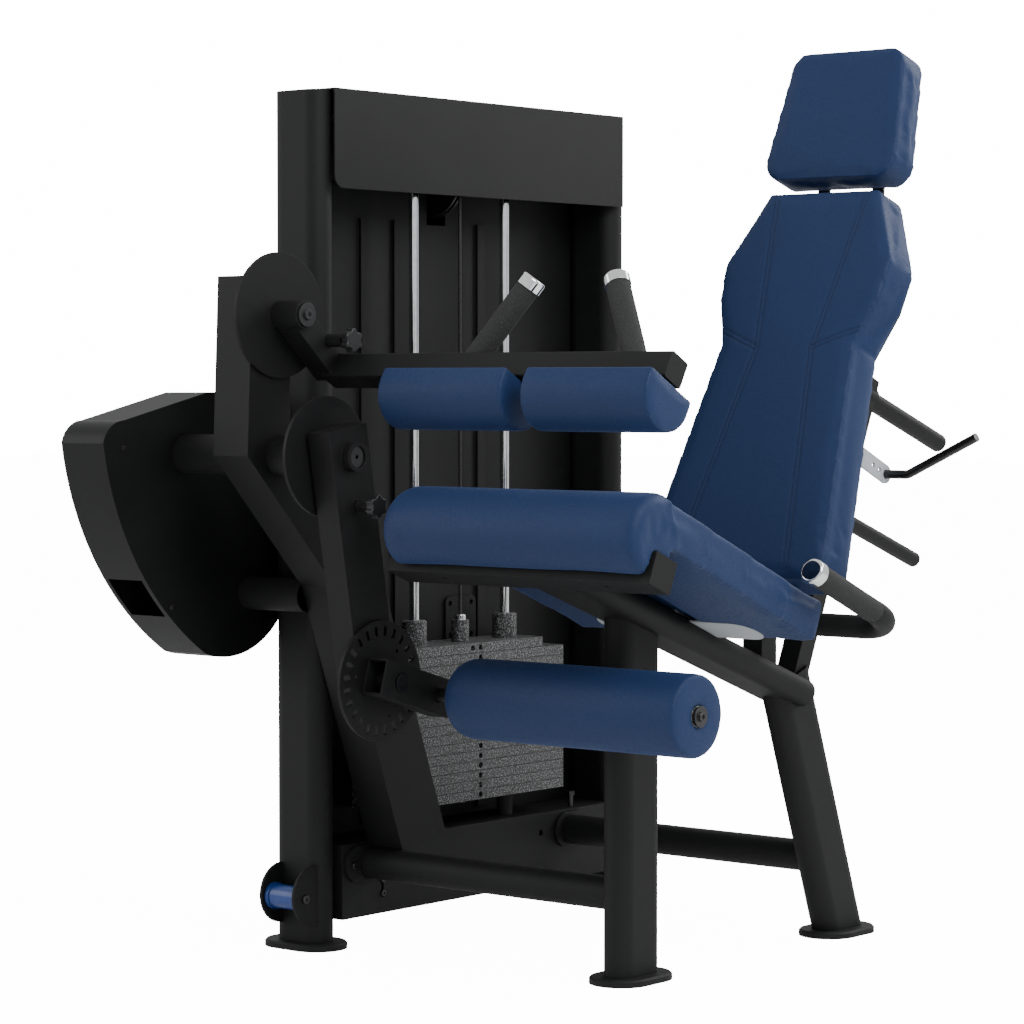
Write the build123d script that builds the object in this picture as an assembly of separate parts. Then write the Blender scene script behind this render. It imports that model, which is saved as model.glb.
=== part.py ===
from build123d import *
import os
from math import acos, atan2, cos, degrees, radians, sin

# Leg extension machine with a selectorised weight stack.
# All sizes are millimetres. The drawing frame has X = 0 on the seat's centre plane, with the weight
# tower on the -X side, Y = 0 on the front leg with the sitter facing -Y, and Z = 0 on the floor.
# The finished parts are moved so that the origin is the bottom centre of the whole machine.

# Oval tube used for the columns, legs and seat beam
OVAL_LONG = 110.0
OVAL_SHORT = 55.0
WALL = 3.0
FOOT_MARGIN = 25.0
FOOT_THICK = 12.0

# Weight tower
TOWER_X = -641.5
TOWER_HEIGHT = 1500.0
FRONT_COLUMN_Y = -101.5
REAR_COLUMN_Y = 722.0
SHEET = 3.0
HOOD_BOTTOM = 1327.0
BASE_BOTTOM, BASE_TOP = 48.0, 180.0
TOWER_IN = -690.0
TOWER_OUT = -580.0
BULGE_X = -803.0
BULGE_Y0, BULGE_Y1 = 60.0, 560.0
SHROUD_BOTTOM = 480.0

# Weight stack
ROD_RADIUS = 9.0
ROD_X = -632.0
STACK_Y = 304.0
ROD_HALF_SPACING = 128.0
STACK_BOTTOM = 224.0
PLATE_COUNT = 15
PLATES_LIFTED = 3
PLATE_PITCH = 18.05
PLATE_THICK = 17.2
PLATE_WIDTH = 100.0
PLATE_LENGTH = 496.0
TOP_PLATE_LENGTH = 372.0
STEM_RADIUS = 16.5
STEM_BORE = 4.0
STEM_TOP = 553.0
SELECTOR_RADIUS = 4.5
SELECTOR_DEPTH = 8.0

# Running fit between a shaft and its bore
FIT = 0.06

# Main axis, along X at the sitter's knee
AXIS_Y, AXIS_Z = -313.0, 868.0
SHAFT_RADIUS = 17.5
HOUSING_RADIUS = 34.0
DISC_RADIUS = 100.0
PIN_RADIUS = 82.0
PIN_STEP = 12.5
NECK_X0, NECK_X1 = -580.0, -500.0

# Movement arm, hanging back from the vertical
ARM_TILT = 9.9
ARM_X0, ARM_X1 = -386.0, -338.0
ARM_WIDTH = 92.0
ARM_REACH = 378.0
ROLLER_ARM_TILT = 16.5
ROLLER_OFFSET = 101.0
ROLLER_RADIUS = 68.0
ROLLER_X0, ROLLER_X1 = -240.0, 250.0

# Cable drive, in the plane of the casing
CABLE_RADIUS = 3.0
CABLE_X = -770.0
CAM_RADIUS = 78.0
PULLEY_RADIUS = 50.0
PULLEY_THICK = 16.0
PULLEY_BORE = 8.0
IDLER_Y, IDLER_Z = -270.0, 625.0
TURN_Y, TURN_Z = STACK_Y - PULLEY_RADIUS, 625.0
TOP_PULLEY_Z = 1370.0
TOP_PULLEY_X = (CABLE_X + ROD_X) / 2
TOP_PULLEY_RADIUS = (ROD_X - CABLE_X) / 2
CASING_X0, CASING_X1 = -823.0, -720.0

# Thigh pad arm
THIGH_Y, THIGH_Z = -316.0, 1102.0
BEAM_Y, BEAM_Z = -214.0, 1009.5
BEAM_TILT = 29.0
BEAM_SIDE = 45.0
BEAM_X0, BEAM_X1 = -470.0, 252.0
THIGH_PADS = {"left": (-300.0, -36.0), "right": (2.0, 256.0)}
THIGH_PAD_HALF = 60.0
GRIP_RADIUS = 20.0

# Seat
SEAT_TILT = 22.5
SEAT_HALF = 268.0
SEAT_REAR_HALF = 248.0
SEAT_ROLL_Y, SEAT_ROLL_Z, SEAT_ROLL_RADIUS = -272.0, 752.5, 68.5
SEAT_LENGTH = 492.0
SEAT_LOW, SEAT_HIGH = -4.0, 66.0
CHANNEL_HALF, CHANNEL_TOP = 64.0, 8.0
FRAME_TILT = 20.0
SEAT_BEAM_HEIGHT = 48.0
SEAT_BEAM_Y, SEAT_BEAM_Z = 98.2, 575.6
REAR_LEG_Y, REAR_LEG_Z = 508.0, 285.0

# Backrest, sliding along two bars
BACK_TILT = 23.5
BACK_FRONT = -19.0
BACK_THICK = 78.0
BACK_LOW, BACK_HIGH = 708.0, 1447.0
BACK_OUTLINE = [(200.0, 708.0), (146.0, 1148.0), (175.0, 1236.0), (181.0, 1306.0), (119.0, 1447.0)]
BAR_TILT = 19.5
UPPER_BAR_UP, UPPER_BAR_END, UPPER_BAR_RADIUS = 1140.0, 597.0, 17.0
LOWER_BAR_UP, LOWER_BAR_END, LOWER_BAR_RADIUS = 910.0, 590.0, 14.0
UPRIGHT_ALONG = 235.0
SLEEVE_FRONT, SLEEVE_REAR = 45.0, 30.0
HEAD_TILT = 5.6
HEAD_THICK = 74.0

# Side handle
HANDLE_X, HANDLE_Y, HANDLE_Z = 289.0, 366.0, 576.0
HANDLE_TOP_Y, HANDLE_TOP_Z = 100.0, 687.0
HANDLE_RADIUS = 20.0

PARTS = {}


def box(x0, x1, y0, y1, z0, z1):
    centre = Pos((x0 + x1) / 2, (y0 + y1) / 2, (z0 + z1) / 2)
    return centre * Box(x1 - x0, y1 - y0, z1 - z0)


def rod(start, end, radius):
    """A round bar between two points."""
    run = Vector(*end) - Vector(*start)
    plane = Plane(origin=start, z_dir=run.normalized())
    return plane * Cylinder(radius, run.length, align=(Align.CENTER, Align.CENTER, Align.MIN))


def x_rod(x0, x1, y, z, radius):
    return rod((x0, y, z), (x1, y, z), radius)


def y_rod(y0, y1, x, z, radius):
    return rod((x, y0, z), (x, y1, z), radius)


def z_rod(z0, z1, x, y, radius):
    return rod((x, y, z0), (x, y, z1), radius)


def side_prism(sketch, x0, x1):
    """A sketch drawn in (y, z), given thickness from x0 to x1."""
    return extrude(Plane.YZ.offset(x0) * sketch, amount=x1 - x0)


def polygon(points):
    return make_face(Polyline(*points, close=True))


def turned(tilt, y, z):
    """Turn a (along, up) pair, with along sloping down to the rear by tilt, into (y, z)."""
    angle = radians(tilt)
    return y * cos(angle) + z * sin(angle), z * cos(angle) - y * sin(angle)


def seat_point(along, up):
    y, z = turned(SEAT_TILT, along, up)
    return SEAT_ROLL_Y + y, SEAT_ROLL_Z + z


def back_point(along, up):
    return turned(BACK_TILT, along, up)


def bar_point(along, up):
    return turned(BAR_TILT, along, up)


def bar_at(back_along, up):
    """How far along a bar lies the point that is at back_along on the backrest's own axes."""
    lean = radians(BACK_TILT - BAR_TILT)
    crossing = (up + back_along * sin(lean)) / cos(lean)
    return back_along * cos(lean) + crossing * sin(lean)


def back_height(back_along, up):
    """The height on the backrest's axes at which a bar passes back_along."""
    lean = radians(BACK_TILT - BAR_TILT)
    return (up + back_along * sin(lean)) / cos(lean)


def tilted_box(point, x0, x1, a0, a1, b0, b1):
    """A box square to a tilted (along, up) pair of axes."""
    corners = [point(a0, b0), point(a1, b0), point(a1, b1), point(a0, b1)]
    return side_prism(polygon(corners), x0, x1)


def oval(length, long_side=OVAL_LONG, short_side=OVAL_SHORT):
    return extrude(SlotOverall(long_side, short_side), amount=length)


def oval_tube(length, long_side=OVAL_LONG, short_side=OVAL_SHORT):
    inner = oval(length, long_side - 2 * WALL, short_side - 2 * WALL)
    return oval(length, long_side, short_side) - inner


def foot_plate():
    plate = extrude(SlotOverall(OVAL_LONG + 2 * FOOT_MARGIN, OVAL_SHORT + 2 * FOOT_MARGIN), amount=FOOT_THICK)
    return chamfer(plate.edges().group_by(Axis.Z)[-1], 3.0)


def bolt(point, direction, radius=8.0, height=6.0):
    """A socket head resting on a face, with its hexagon recess."""
    plane = Plane(origin=point, z_dir=direction)
    head = Cylinder(radius, height, align=(Align.CENTER, Align.CENTER, Align.MIN))
    head = chamfer(head.edges().group_by(Axis.Z)[-1], height * 0.15)
    recess = Pos(0, 0, height * 0.5) * extrude(RegularPolygon(radius * 0.5, 6), amount=height)
    return plane * (head - recess)


def pulley(radius, thick, bore):
    """A grooved wheel about Z: the cable's centreline runs at the given radius."""
    flange = radius + 7.0
    floor = radius - CABLE_RADIUS - 0.3
    wheel = Cylinder(flange, thick)
    groove = Cylinder(flange + 1, 2 * CABLE_RADIUS + 1.4) - Cylinder(floor, 2 * CABLE_RADIUS + 1.4)
    return wheel - groove - Cylinder(bore, thick)


def star_knob(x):
    """A six-lobed knob whose base sits at x, on an axis along X."""
    outline = Circle(20.0)
    for turn in range(6):
        outline -= Rot(0, 0, 60 * turn) * Pos(24.0, 0) * Circle(8.0)
    outline = fillet(outline.vertices(), 2.0)
    knob = Plane.YZ.offset(x) * extrude(outline, amount=14.0)
    return fillet(knob.faces().sort_by(Axis.X)[-1].edges(), 2.0)


def pull_pin(y, z, tip, shoulder, knob_x):
    """A plunger, stored drawn: thin nose from tip to shoulder, thicker stem, and a star knob."""
    nose = x_rod(tip, shoulder, y, z, 5.0)
    stem = x_rod(shoulder, knob_x, y, z, 7.0)
    return nose + stem + Pos(0, y, z) * star_knob(knob_x)


def keep(node, *solids):
    PARTS.setdefault(node, []).extend(solids)


# ---- Weight tower ---------------------------------------------------------------------------------

column_solid = {}
for name, y in (("front", FRONT_COLUMN_Y), ("rear", REAR_COLUMN_Y)):
    place = Pos(TOWER_X, y, FOOT_THICK)
    height = TOWER_HEIGHT - SHEET - FOOT_THICK
    inner = oval(height - WALL, OVAL_LONG - 2 * WALL, OVAL_SHORT - 2 * WALL)
    column_solid[name] = place * oval(height)
    keep("tower_columns", place * (oval(height) - inner))
    keep("foot_plates", Pos(TOWER_X, y, 0) * foot_plate())

COLUMN_REAR_FACE = FRONT_COLUMN_Y + OVAL_SHORT / 2
COLUMN_FRONT_FACE = REAR_COLUMN_Y - OVAL_SHORT / 2

# Base beam between the columns, a closed box with an adjusting slot and a hole in its seat side
base = box(TOWER_IN, TOWER_OUT, COLUMN_REAR_FACE, COLUMN_FRONT_FACE, BASE_BOTTOM, BASE_TOP)
base -= box(TOWER_IN + 4, TOWER_OUT - 4, COLUMN_REAR_FACE + 4, COLUMN_FRONT_FACE - 4,
            BASE_BOTTOM + 4, BASE_TOP - 4)
base -= box(TOWER_OUT - 6, TOWER_OUT + 1, 28, 34, 76, 116)
base -= x_rod(TOWER_OUT - 6, TOWER_OUT + 1, 477, 143, 6.0)
keep("tower_beams", base)

# Back panel: a sheet with shallow upright folds, notched at the top for the cable pulley
panel = box(TOWER_IN - SHEET, TOWER_IN, FRONT_COLUMN_Y, REAR_COLUMN_Y, BASE_TOP, 1345)
for fold_y, fold_width in ((92, 10), (182, 8), (416, 22)):
    panel += box(TOWER_IN, TOWER_IN + 6, fold_y, fold_y + fold_width, BASE_TOP + 10, 1285)
panel -= box(TOWER_IN - 10, TOWER_IN + 10, 278, 330, 1280, 1350)
panel = panel - column_solid["front"] - column_solid["rear"]
keep("back_panel", panel)

# Top hood: open underneath, with a deeper back where the cable comes over
hood = box(-700, -574, FRONT_COLUMN_Y + 6, REAR_COLUMN_Y - 3, HOOD_BOTTOM, TOWER_HEIGHT)
corner = hood.edges().filter_by(Axis.X).group_by(Axis.Z)[0].sort_by(Axis.Y)
hood = fillet(corner[0], 22.0)
hood += box(BULGE_X, -700, BULGE_Y0, BULGE_Y1, HOOD_BOTTOM, TOWER_HEIGHT)
hood -= box(-697, -577, FRONT_COLUMN_Y, REAR_COLUMN_Y, HOOD_BOTTOM - 5, TOWER_HEIGHT - SHEET)
hood -= box(BULGE_X + SHEET, -690, BULGE_Y0 + SHEET, BULGE_Y1 - SHEET, HOOD_BOTTOM - 5,
            TOWER_HEIGHT - SHEET)
keep("top_hood", hood)

shroud = box(BULGE_X, TOWER_IN - SHEET, BULGE_Y0, BULGE_Y1, SHROUD_BOTTOM, HOOD_BOTTOM)
shroud -= box(BULGE_X + SHEET, TOWER_IN, BULGE_Y0 + SHEET, BULGE_Y1 - SHEET,
              SHROUD_BOTTOM + SHEET, HOOD_BOTTOM + 1)
shroud -= y_rod(BULGE_Y0 - 1, BULGE_Y0 + SHEET + 1, CABLE_X, IDLER_Z - PULLEY_RADIUS, 12.0)
keep("rear_shroud", shroud)

top_beam = box(-680, -600, COLUMN_REAR_FACE, COLUMN_FRONT_FACE, 1455, 1495)
top_beam -= box(-676, -604, COLUMN_REAR_FACE + 4, COLUMN_FRONT_FACE - 4, 1459, 1491)
keep("tower_beams", top_beam)

# ---- Weight stack ---------------------------------------------------------------------------------

ROD_YS = (STACK_Y - ROD_HALF_SPACING, STACK_Y + ROD_HALF_SPACING)
for y in ROD_YS:
    keep("guide_rods", z_rod(BASE_TOP, 1455, ROD_X, y, ROD_RADIUS))
    bumper = z_rod(BASE_TOP, STACK_BOTTOM, ROD_X, y, 15.0) - z_rod(BASE_TOP, STACK_BOTTOM, ROD_X, y, ROD_RADIUS)
    keep("stack_bumpers", bumper)

PLATE_X0 = ROD_X - PLATE_WIDTH / 2
PLATE_X1 = ROD_X + PLATE_WIDTH / 2


def weight_plate(z, length, thick, rod_hole):
    """A flat plate with holes for both rods and the stem, and a pin hole from the seat side."""
    half = length / 2
    plate = box(PLATE_X0, PLATE_X1, STACK_Y - half, STACK_Y + half, z, z + thick)
    plate = chamfer(plate.edges().filter_by(Axis.Z), 6.0)
    for y in ROD_YS:
        plate -= z_rod(z - 1, z + thick + 1, ROD_X, y, rod_hole)
    plate -= z_rod(z - 1, z + thick + 1, ROD_X, STACK_Y, STEM_RADIUS + 1)
    return plate - x_rod(ROD_X, PLATE_X1 + 1, STACK_Y, z + thick / 2, 5.5)


plate_levels = [STACK_BOTTOM + PLATE_PITCH * k for k in range(PLATE_COUNT)]
for k, z in enumerate(plate_levels):
    node = "lifted_plates" if k >= PLATE_COUNT - PLATES_LIFTED else "lower_plates"
    keep(node, weight_plate(z, PLATE_LENGTH, PLATE_THICK, ROD_RADIUS + 1.5))

top_level = STACK_BOTTOM + PLATE_PITCH * PLATE_COUNT
TOP_PLATE_TOP = top_level + 18.0
top_plate = weight_plate(top_level, TOP_PLATE_LENGTH, 18.0, ROD_RADIUS + 1.5)
top_plate -= x_rod(ROD_X + 20, PLATE_X1 + 1, STACK_Y - 22, top_level + 9, 5.5)
keep("top_plate", top_plate)
for y in ROD_YS:
    bush = z_rod(TOP_PLATE_TOP, TOP_PLATE_TOP + 46, ROD_X, y, 23.0)
    bush = chamfer(bush.edges().group_by(Axis.Z)[-1], 2.0)
    keep("top_plate", bush - z_rod(TOP_PLATE_TOP, TOP_PLATE_TOP + 46, ROD_X, y, ROD_RADIUS + FIT))

# Selector stem: drilled for the cable from the top and for the pin from the seat side
stem = z_rod(STACK_BOTTOM + 2, STEM_TOP, ROD_X, STACK_Y, STEM_RADIUS)
stem += z_rod(STACK_BOTTOM - 10, STACK_BOTTOM + 2, ROD_X, STACK_Y, 9.0)
stem -= z_rod(STEM_TOP - 220, STEM_TOP + 1, ROD_X, STACK_Y, STEM_BORE)
for z in plate_levels:
    stem -= x_rod(ROD_X + STEM_RADIUS - SELECTOR_DEPTH - 1, PLATE_X1, STACK_Y, z + PLATE_THICK / 2, 5.2)
stem_cap = z_rod(STEM_TOP, STEM_TOP + 10, ROD_X, STACK_Y, 11.0)
stem_cap = chamfer(stem_cap.edges().group_by(Axis.Z)[-1], 2.0)
keep("selector_stem", stem, stem_cap - z_rod(STEM_TOP, STEM_TOP + 10, ROD_X, STACK_Y, STEM_BORE))

SELECTOR_Z = plate_levels[PLATE_COUNT - PLATES_LIFTED] + PLATE_THICK / 2
selector = x_rod(ROD_X + STEM_RADIUS - SELECTOR_DEPTH, PLATE_X1 + 6, STACK_Y, SELECTOR_Z, SELECTOR_RADIUS)
selector_knob = x_rod(PLATE_X1 + 6, PLATE_X1 + 28, STACK_Y, SELECTOR_Z, 11.0)
selector += fillet(selector_knob.edges().group_by(Axis.X)[-1], 4.0)
keep("selector_pin", selector)

# ---- Floor frame of the seat ----------------------------------------------------------------------

ALONG = (0, cos(radians(FRAME_TILT)), -sin(radians(FRAME_TILT)))
UPWARD = (0, sin(radians(FRAME_TILT)), cos(radians(FRAME_TILT)))


def beam_plane(distance):
    """A plane square to the seat beam, at a distance along it from its reference point."""
    origin = (0, SEAT_BEAM_Y + ALONG[1] * distance, SEAT_BEAM_Z + ALONG[2] * distance)
    return Plane(origin=origin, x_dir=(1, 0, 0), z_dir=ALONG)


BEAM_BACK = 380.0
cross_beam = tilted_box(seat_point, -268, 268, -3, 53, -75, -23)
cross_beam -= tilted_box(seat_point, -265, 265, 0, 50, -72, -26)
cross_solid = tilted_box(seat_point, -268, 268, -3, 53, -75, -23)
for x in (-165, 165):
    cross_beam -= rod((x, *seat_point(25, -80)), (x, *seat_point(25, -70)), 4.0)
keep("seat_beam", cross_beam)

beam_solid = beam_plane(-400) * oval(BEAM_BACK + 400, OVAL_LONG, SEAT_BEAM_HEIGHT)
front_of_cross = tilted_box(seat_point, -300, 300, -200, 50, -200, 200)

# Rear leg, square to the seat beam, and the upright that continues it backwards
leg_origin = (0, REAR_LEG_Y - UPWARD[1] * 0, REAR_LEG_Z)
LEG_UP = (0, -sin(radians(FRAME_TILT)), cos(radians(FRAME_TILT)))
leg_low = (0, REAR_LEG_Y - LEG_UP[1] * 320, REAR_LEG_Z - LEG_UP[2] * 320)
leg_plane = Plane(origin=leg_low, x_dir=(0, LEG_UP[2], -LEG_UP[1]), z_dir=LEG_UP)
LEG_LENGTH = 320 + 205
above_foot = box(-200, 200, 200, 900, FOOT_THICK, 900)
rear_leg_solid = leg_plane * oval(LEG_LENGTH) & above_foot
rear_leg = leg_plane * oval_tube(LEG_LENGTH) & above_foot

seat_beam = beam_plane(-400) * oval_tube(BEAM_BACK + 400, OVAL_LONG, SEAT_BEAM_HEIGHT)
seat_beam = seat_beam - front_of_cross - cross_solid - rear_leg_solid
seat_beam = seat_beam.solids().sort_by(SortBy.VOLUME)[-1]
keep("seat_beam", seat_beam)
keep("rear_leg", rear_leg)

REAR_FOOT_Y = REAR_LEG_Y + (REAR_LEG_Z - FOOT_THICK) * sin(radians(FRAME_TILT)) / cos(radians(FRAME_TILT))
keep("foot_plates", Pos(0, REAR_FOOT_Y, 0) * Rot(0, 0, 90) * foot_plate())

# Front leg, trimmed to the underside of the seat beam
over_beam = beam_plane(-400) * (Pos(0, -200) * Box(400, 400, 900, align=(Align.CENTER, Align.CENTER, Align.MIN)))
front_leg_solid = Pos(0, 0, FOOT_THICK) * Rot(0, 0, 90) * oval(640)
front_leg = Pos(0, 0, FOOT_THICK) * Rot(0, 0, 90) * oval_tube(640)
front_leg = front_leg - beam_solid - over_beam
keep("front_leg", front_leg.solids().sort_by(SortBy.VOLUME)[-1])
keep("foot_plates", Rot(0, 0, 90) * foot_plate())

# Round tubes from the tower base to the legs, with oval flanges, and the stay of the casing
FRONT_TUBE_Y, REAR_TUBE_Y, TUBE_Z, TUBE_RADIUS = -8.0, 555.0, 143.0, 28.0
FLANGE_THICK = 8.0


def flange(y, z):
    outline = SlotOverall(104, 66)
    return extrude(Plane.YZ.offset(TOWER_OUT) * Pos(y, z) * outline, amount=FLANGE_THICK)


flange_solids = []
for y, leg_solid, side in ((FRONT_TUBE_Y, front_leg_solid, -1), (REAR_TUBE_Y, rear_leg_solid, 1)):
    tube = x_rod(TOWER_OUT + FLANGE_THICK, 0, y, TUBE_Z, TUBE_RADIUS)
    tube -= x_rod(TOWER_OUT + FLANGE_THICK, 0, y, TUBE_Z, TUBE_RADIUS - WALL)
    tube -= leg_solid
    keep("frame_tubes", tube.solids().sort_by(SortBy.VOLUME)[-1])
    flange_solids.append(flange(y + side * 10, TUBE_Z))
    keep("frame_bolts", bolt((TOWER_OUT + FLANGE_THICK, y + side * 45, TUBE_Z), (1, 0, 0), 6.0, 5.0))

STAY_Y, STAY_Z, STAY_RADIUS = -159.5, 622.0, 29.0
stay = x_rod(CASING_X1, NECK_X0, STAY_Y, STAY_Z, STAY_RADIUS)
stay -= x_rod(CASING_X1, NECK_X0, STAY_Y, STAY_Z, STAY_RADIUS - WALL)
keep("frame_tubes", stay)

# ---- Goose-neck bracket and main bearing ----------------------------------------------------------

NECK_OUTLINE = [(1, 154), (-176, 640), (-389, 868), (-377, 1167), (-287, 1167), (-288, 893), (-53, 640),
                (109, 195)]
neck_face = polygon(NECK_OUTLINE)
neck = side_prism(neck_face, NECK_X0, NECK_X1)
neck -= side_prism(offset(neck_face, amount=-4, kind=Kind.INTERSECTION), NECK_X0 + 4, NECK_X1 - 4)
neck -= x_rod(NECK_X0 - 1, NECK_X1 + 1, AXIS_Y, AXIS_Z, HOUSING_RADIUS)
neck -= x_rod(NECK_X0 - 1, NECK_X1 + 1, FRONT_TUBE_Y, TUBE_Z, TUBE_RADIUS)
neck -= flange_solids[0]
keep("goose_neck", neck.solids().sort_by(SortBy.VOLUME)[-1])

HOUSING_X0, HOUSING_X1 = CASING_X1, -404.0
housing = x_rod(HOUSING_X0, HOUSING_X1, AXIS_Y, AXIS_Z, HOUSING_RADIUS)
housing -= x_rod(HOUSING_X0, HOUSING_X1, AXIS_Y, AXIS_Z, 26.0)
keep("bearing_housing", housing)
for x in (HOUSING_X0 + 8, HOUSING_X1 - 28):
    ring = x_rod(x, x + 20, AXIS_Y, AXIS_Z, 26.0) - x_rod(x, x + 20, AXIS_Y, AXIS_Z, SHAFT_RADIUS + FIT)
    keep("shaft_bearings", ring)

spacer = x_rod(-600, NECK_X0, -100, 556, 11.0) - column_solid["front"]
keep("frame_bolts", spacer.solids().sort_by(Axis.X)[-1])

# ---- Drive shaft, start disc and cam --------------------------------------------------------------

shaft = x_rod(CABLE_X - 30, ARM_X1 + 13, AXIS_Y, AXIS_Z, SHAFT_RADIUS)
shaft -= x_rod(ARM_X1 + 3, ARM_X1 + 14, AXIS_Y, AXIS_Z, 3.5)
keep("drive_shaft", shaft)


def pin_ring(y, z, first, count, x0, x1):
    """Holes for a pull pin, spaced around a disc from the angle first."""
    holes = []
    for k in range(count):
        angle = radians(first + PIN_STEP * k)
        spot = (y + PIN_RADIUS * cos(angle), z + PIN_RADIUS * sin(angle))
        holes.append(x_rod(x0 - 1, x1 + 1, *spot, 5.4))
    return holes


START_X0, START_X1 = ARM_X0 - 12, ARM_X0 - 6
ARM_ANGLE = ARM_TILT - 90
start_disc = x_rod(START_X0, START_X1, AXIS_Y, AXIS_Z, DISC_RADIUS)
start_disc += x_rod(START_X1, ARM_X0 - 0.5, AXIS_Y, AXIS_Z, 28.0)
start_disc -= x_rod(START_X0, ARM_X0, AXIS_Y, AXIS_Z, SHAFT_RADIUS)
for hole in pin_ring(AXIS_Y, AXIS_Z, ARM_ANGLE - 2 * PIN_STEP, 3, START_X0, START_X1):
    start_disc -= hole
keep("start_disc", start_disc)

cam = pulley(CAM_RADIUS, 24.0, SHAFT_RADIUS)
for turn in range(6):
    cam -= Rot(0, 0, 60 * turn) * Pos(48, 0) * Cylinder(13, 30)
cam = Pos(CABLE_X, AXIS_Y, AXIS_Z) * Rot(0, 90, 0) * cam
keep("cam_wheel", cam)

# ---- Movement arm ---------------------------------------------------------------------------------


def arm_point(across, down):
    """A point of the arm in (y, z): across towards the rear, down along the arm from the main axis."""
    angle = radians(ARM_TILT)
    return AXIS_Y + across * cos(angle) + down * sin(angle), AXIS_Z + across * sin(angle) - down * cos(angle)


def arm_box(x0, x1, inset):
    half = ARM_WIDTH / 2 - inset
    top, bottom = -48 + inset, ARM_REACH + 46 - inset
    corners = [arm_point(-half, top), arm_point(half, top), arm_point(half, bottom), arm_point(-half, bottom)]
    return side_prism(polygon(corners), x0, x1)


PIN_Y, PIN_Z = arm_point(0, PIN_RADIUS)
arm = arm_box(ARM_X0, ARM_X1, 0) - arm_box(ARM_X0 + 4, ARM_X1 - 4, 4)
arm += x_rod(ARM_X0, ARM_X1 + 16, AXIS_Y, AXIS_Z, 24.0)
arm += x_rod(ARM_X0, ARM_X1 + 10, PIN_Y, PIN_Z, 11.0)
arm -= x_rod(ARM_X0 - 1, ARM_X1 + 17, AXIS_Y, AXIS_Z, SHAFT_RADIUS + FIT)
arm -= x_rod(ARM_X0 - 1, ARM_X1 + 11, PIN_Y, PIN_Z, 7.0 + FIT)
keep("movement_arm", arm)
keep("arm_pull_pin", pull_pin(PIN_Y, PIN_Z, START_X1 + 1, START_X1 + 9, ARM_X1 + 36))

# Slotted disc at the arm's lower end, with the roller arm beside it
DISC_Y, DISC_Z = arm_point(0, ARM_REACH)
SLOT_X1 = ARM_X1 + 6
slotted = x_rod(ARM_X1, SLOT_X1, DISC_Y, DISC_Z, DISC_RADIUS)
slot = Pos(83, 0) * extrude(SlotOverall(17, 8.5), amount=20)
for turn in range(24):
    slotted -= Pos(ARM_X1 - 5, DISC_Y, DISC_Z) * Rot(0, 90, 0) * Rot(0, 0, 15 * turn + 7.5) * slot
for turn in (20, 140, 260):
    slotted -= Pos(ARM_X1 - 5, DISC_Y, DISC_Z) * Rot(0, 90, 0) * Rot(0, 0, turn) * Pos(62, 0) * Cylinder(3, 40)
keep("slotted_disc", slotted)


def roller_point(along, up):
    y, z = turned(ROLLER_ARM_TILT, along, up)
    return DISC_Y + y, DISC_Z + z


RA_X0, RA_X1 = SLOT_X1 + 1.0, SLOT_X1 + 45.0
roller_arm = tilted_box(roller_point, RA_X0, RA_X1, -42, 135, -31, 31)
roller_arm -= tilted_box(roller_point, RA_X0 + 4, RA_X1 - 4, -43, 131, -27, 27)
PIVOT_RADIUS = 10.0
ROLLER_Y, ROLLER_Z = roller_point(ROLLER_OFFSET, 0)
roller_arm += x_rod(RA_X0, RA_X1, DISC_Y, DISC_Z, 16.0)
roller_arm -= x_rod(RA_X0 - 1, RA_X1 + 1, DISC_Y, DISC_Z, PIVOT_RADIUS + FIT)
roller_arm -= x_rod(RA_X0 - 1, RA_X1 + 1, ROLLER_Y, ROLLER_Z, 12.5)
keep("roller_arm", roller_arm)
roller_pivot = x_rod(SLOT_X1, RA_X1 + 1, DISC_Y, DISC_Z, PIVOT_RADIUS)
roller_pivot += x_rod(RA_X1 + 1, RA_X1 + 5, DISC_Y, DISC_Z, 15.0)
keep("roller_pivot", roller_pivot)

axle = x_rod(RA_X0, ROLLER_X1 + 2, ROLLER_Y, ROLLER_Z, 12.5)
axle -= x_rod(ROLLER_X1 - 6, ROLLER_X1 + 3, ROLLER_Y, ROLLER_Z, 4.0)
keep("roller_axle", axle)
washer = x_rod(ROLLER_X1 + 2, ROLLER_X1 + 5, ROLLER_Y, ROLLER_Z, 17.0)
keep("roller_axle", washer, bolt((ROLLER_X1 + 5, ROLLER_Y, ROLLER_Z), (1, 0, 0), 8.0, 4.0))
sleeve = x_rod(ROLLER_X0 + 2, ROLLER_X1 - 2, ROLLER_Y, ROLLER_Z, 16.5)
keep("roller_sleeve", sleeve - x_rod(ROLLER_X0, ROLLER_X1, ROLLER_Y, ROLLER_Z, 12.5 + FIT))
roller = x_rod(ROLLER_X0, ROLLER_X1, ROLLER_Y, ROLLER_Z, ROLLER_RADIUS)
roller = fillet(roller.edges().group_by(Axis.X)[0], 40.0)
roller = fillet(roller.edges().group_by(Axis.X)[-1], 6.0)
keep("ankle_roller", roller - x_rod(ROLLER_X0 - 1, ROLLER_X1 + 1, ROLLER_Y, ROLLER_Z, 16.5))

# ---- Casing over the cam --------------------------------------------------------------------------

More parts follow.
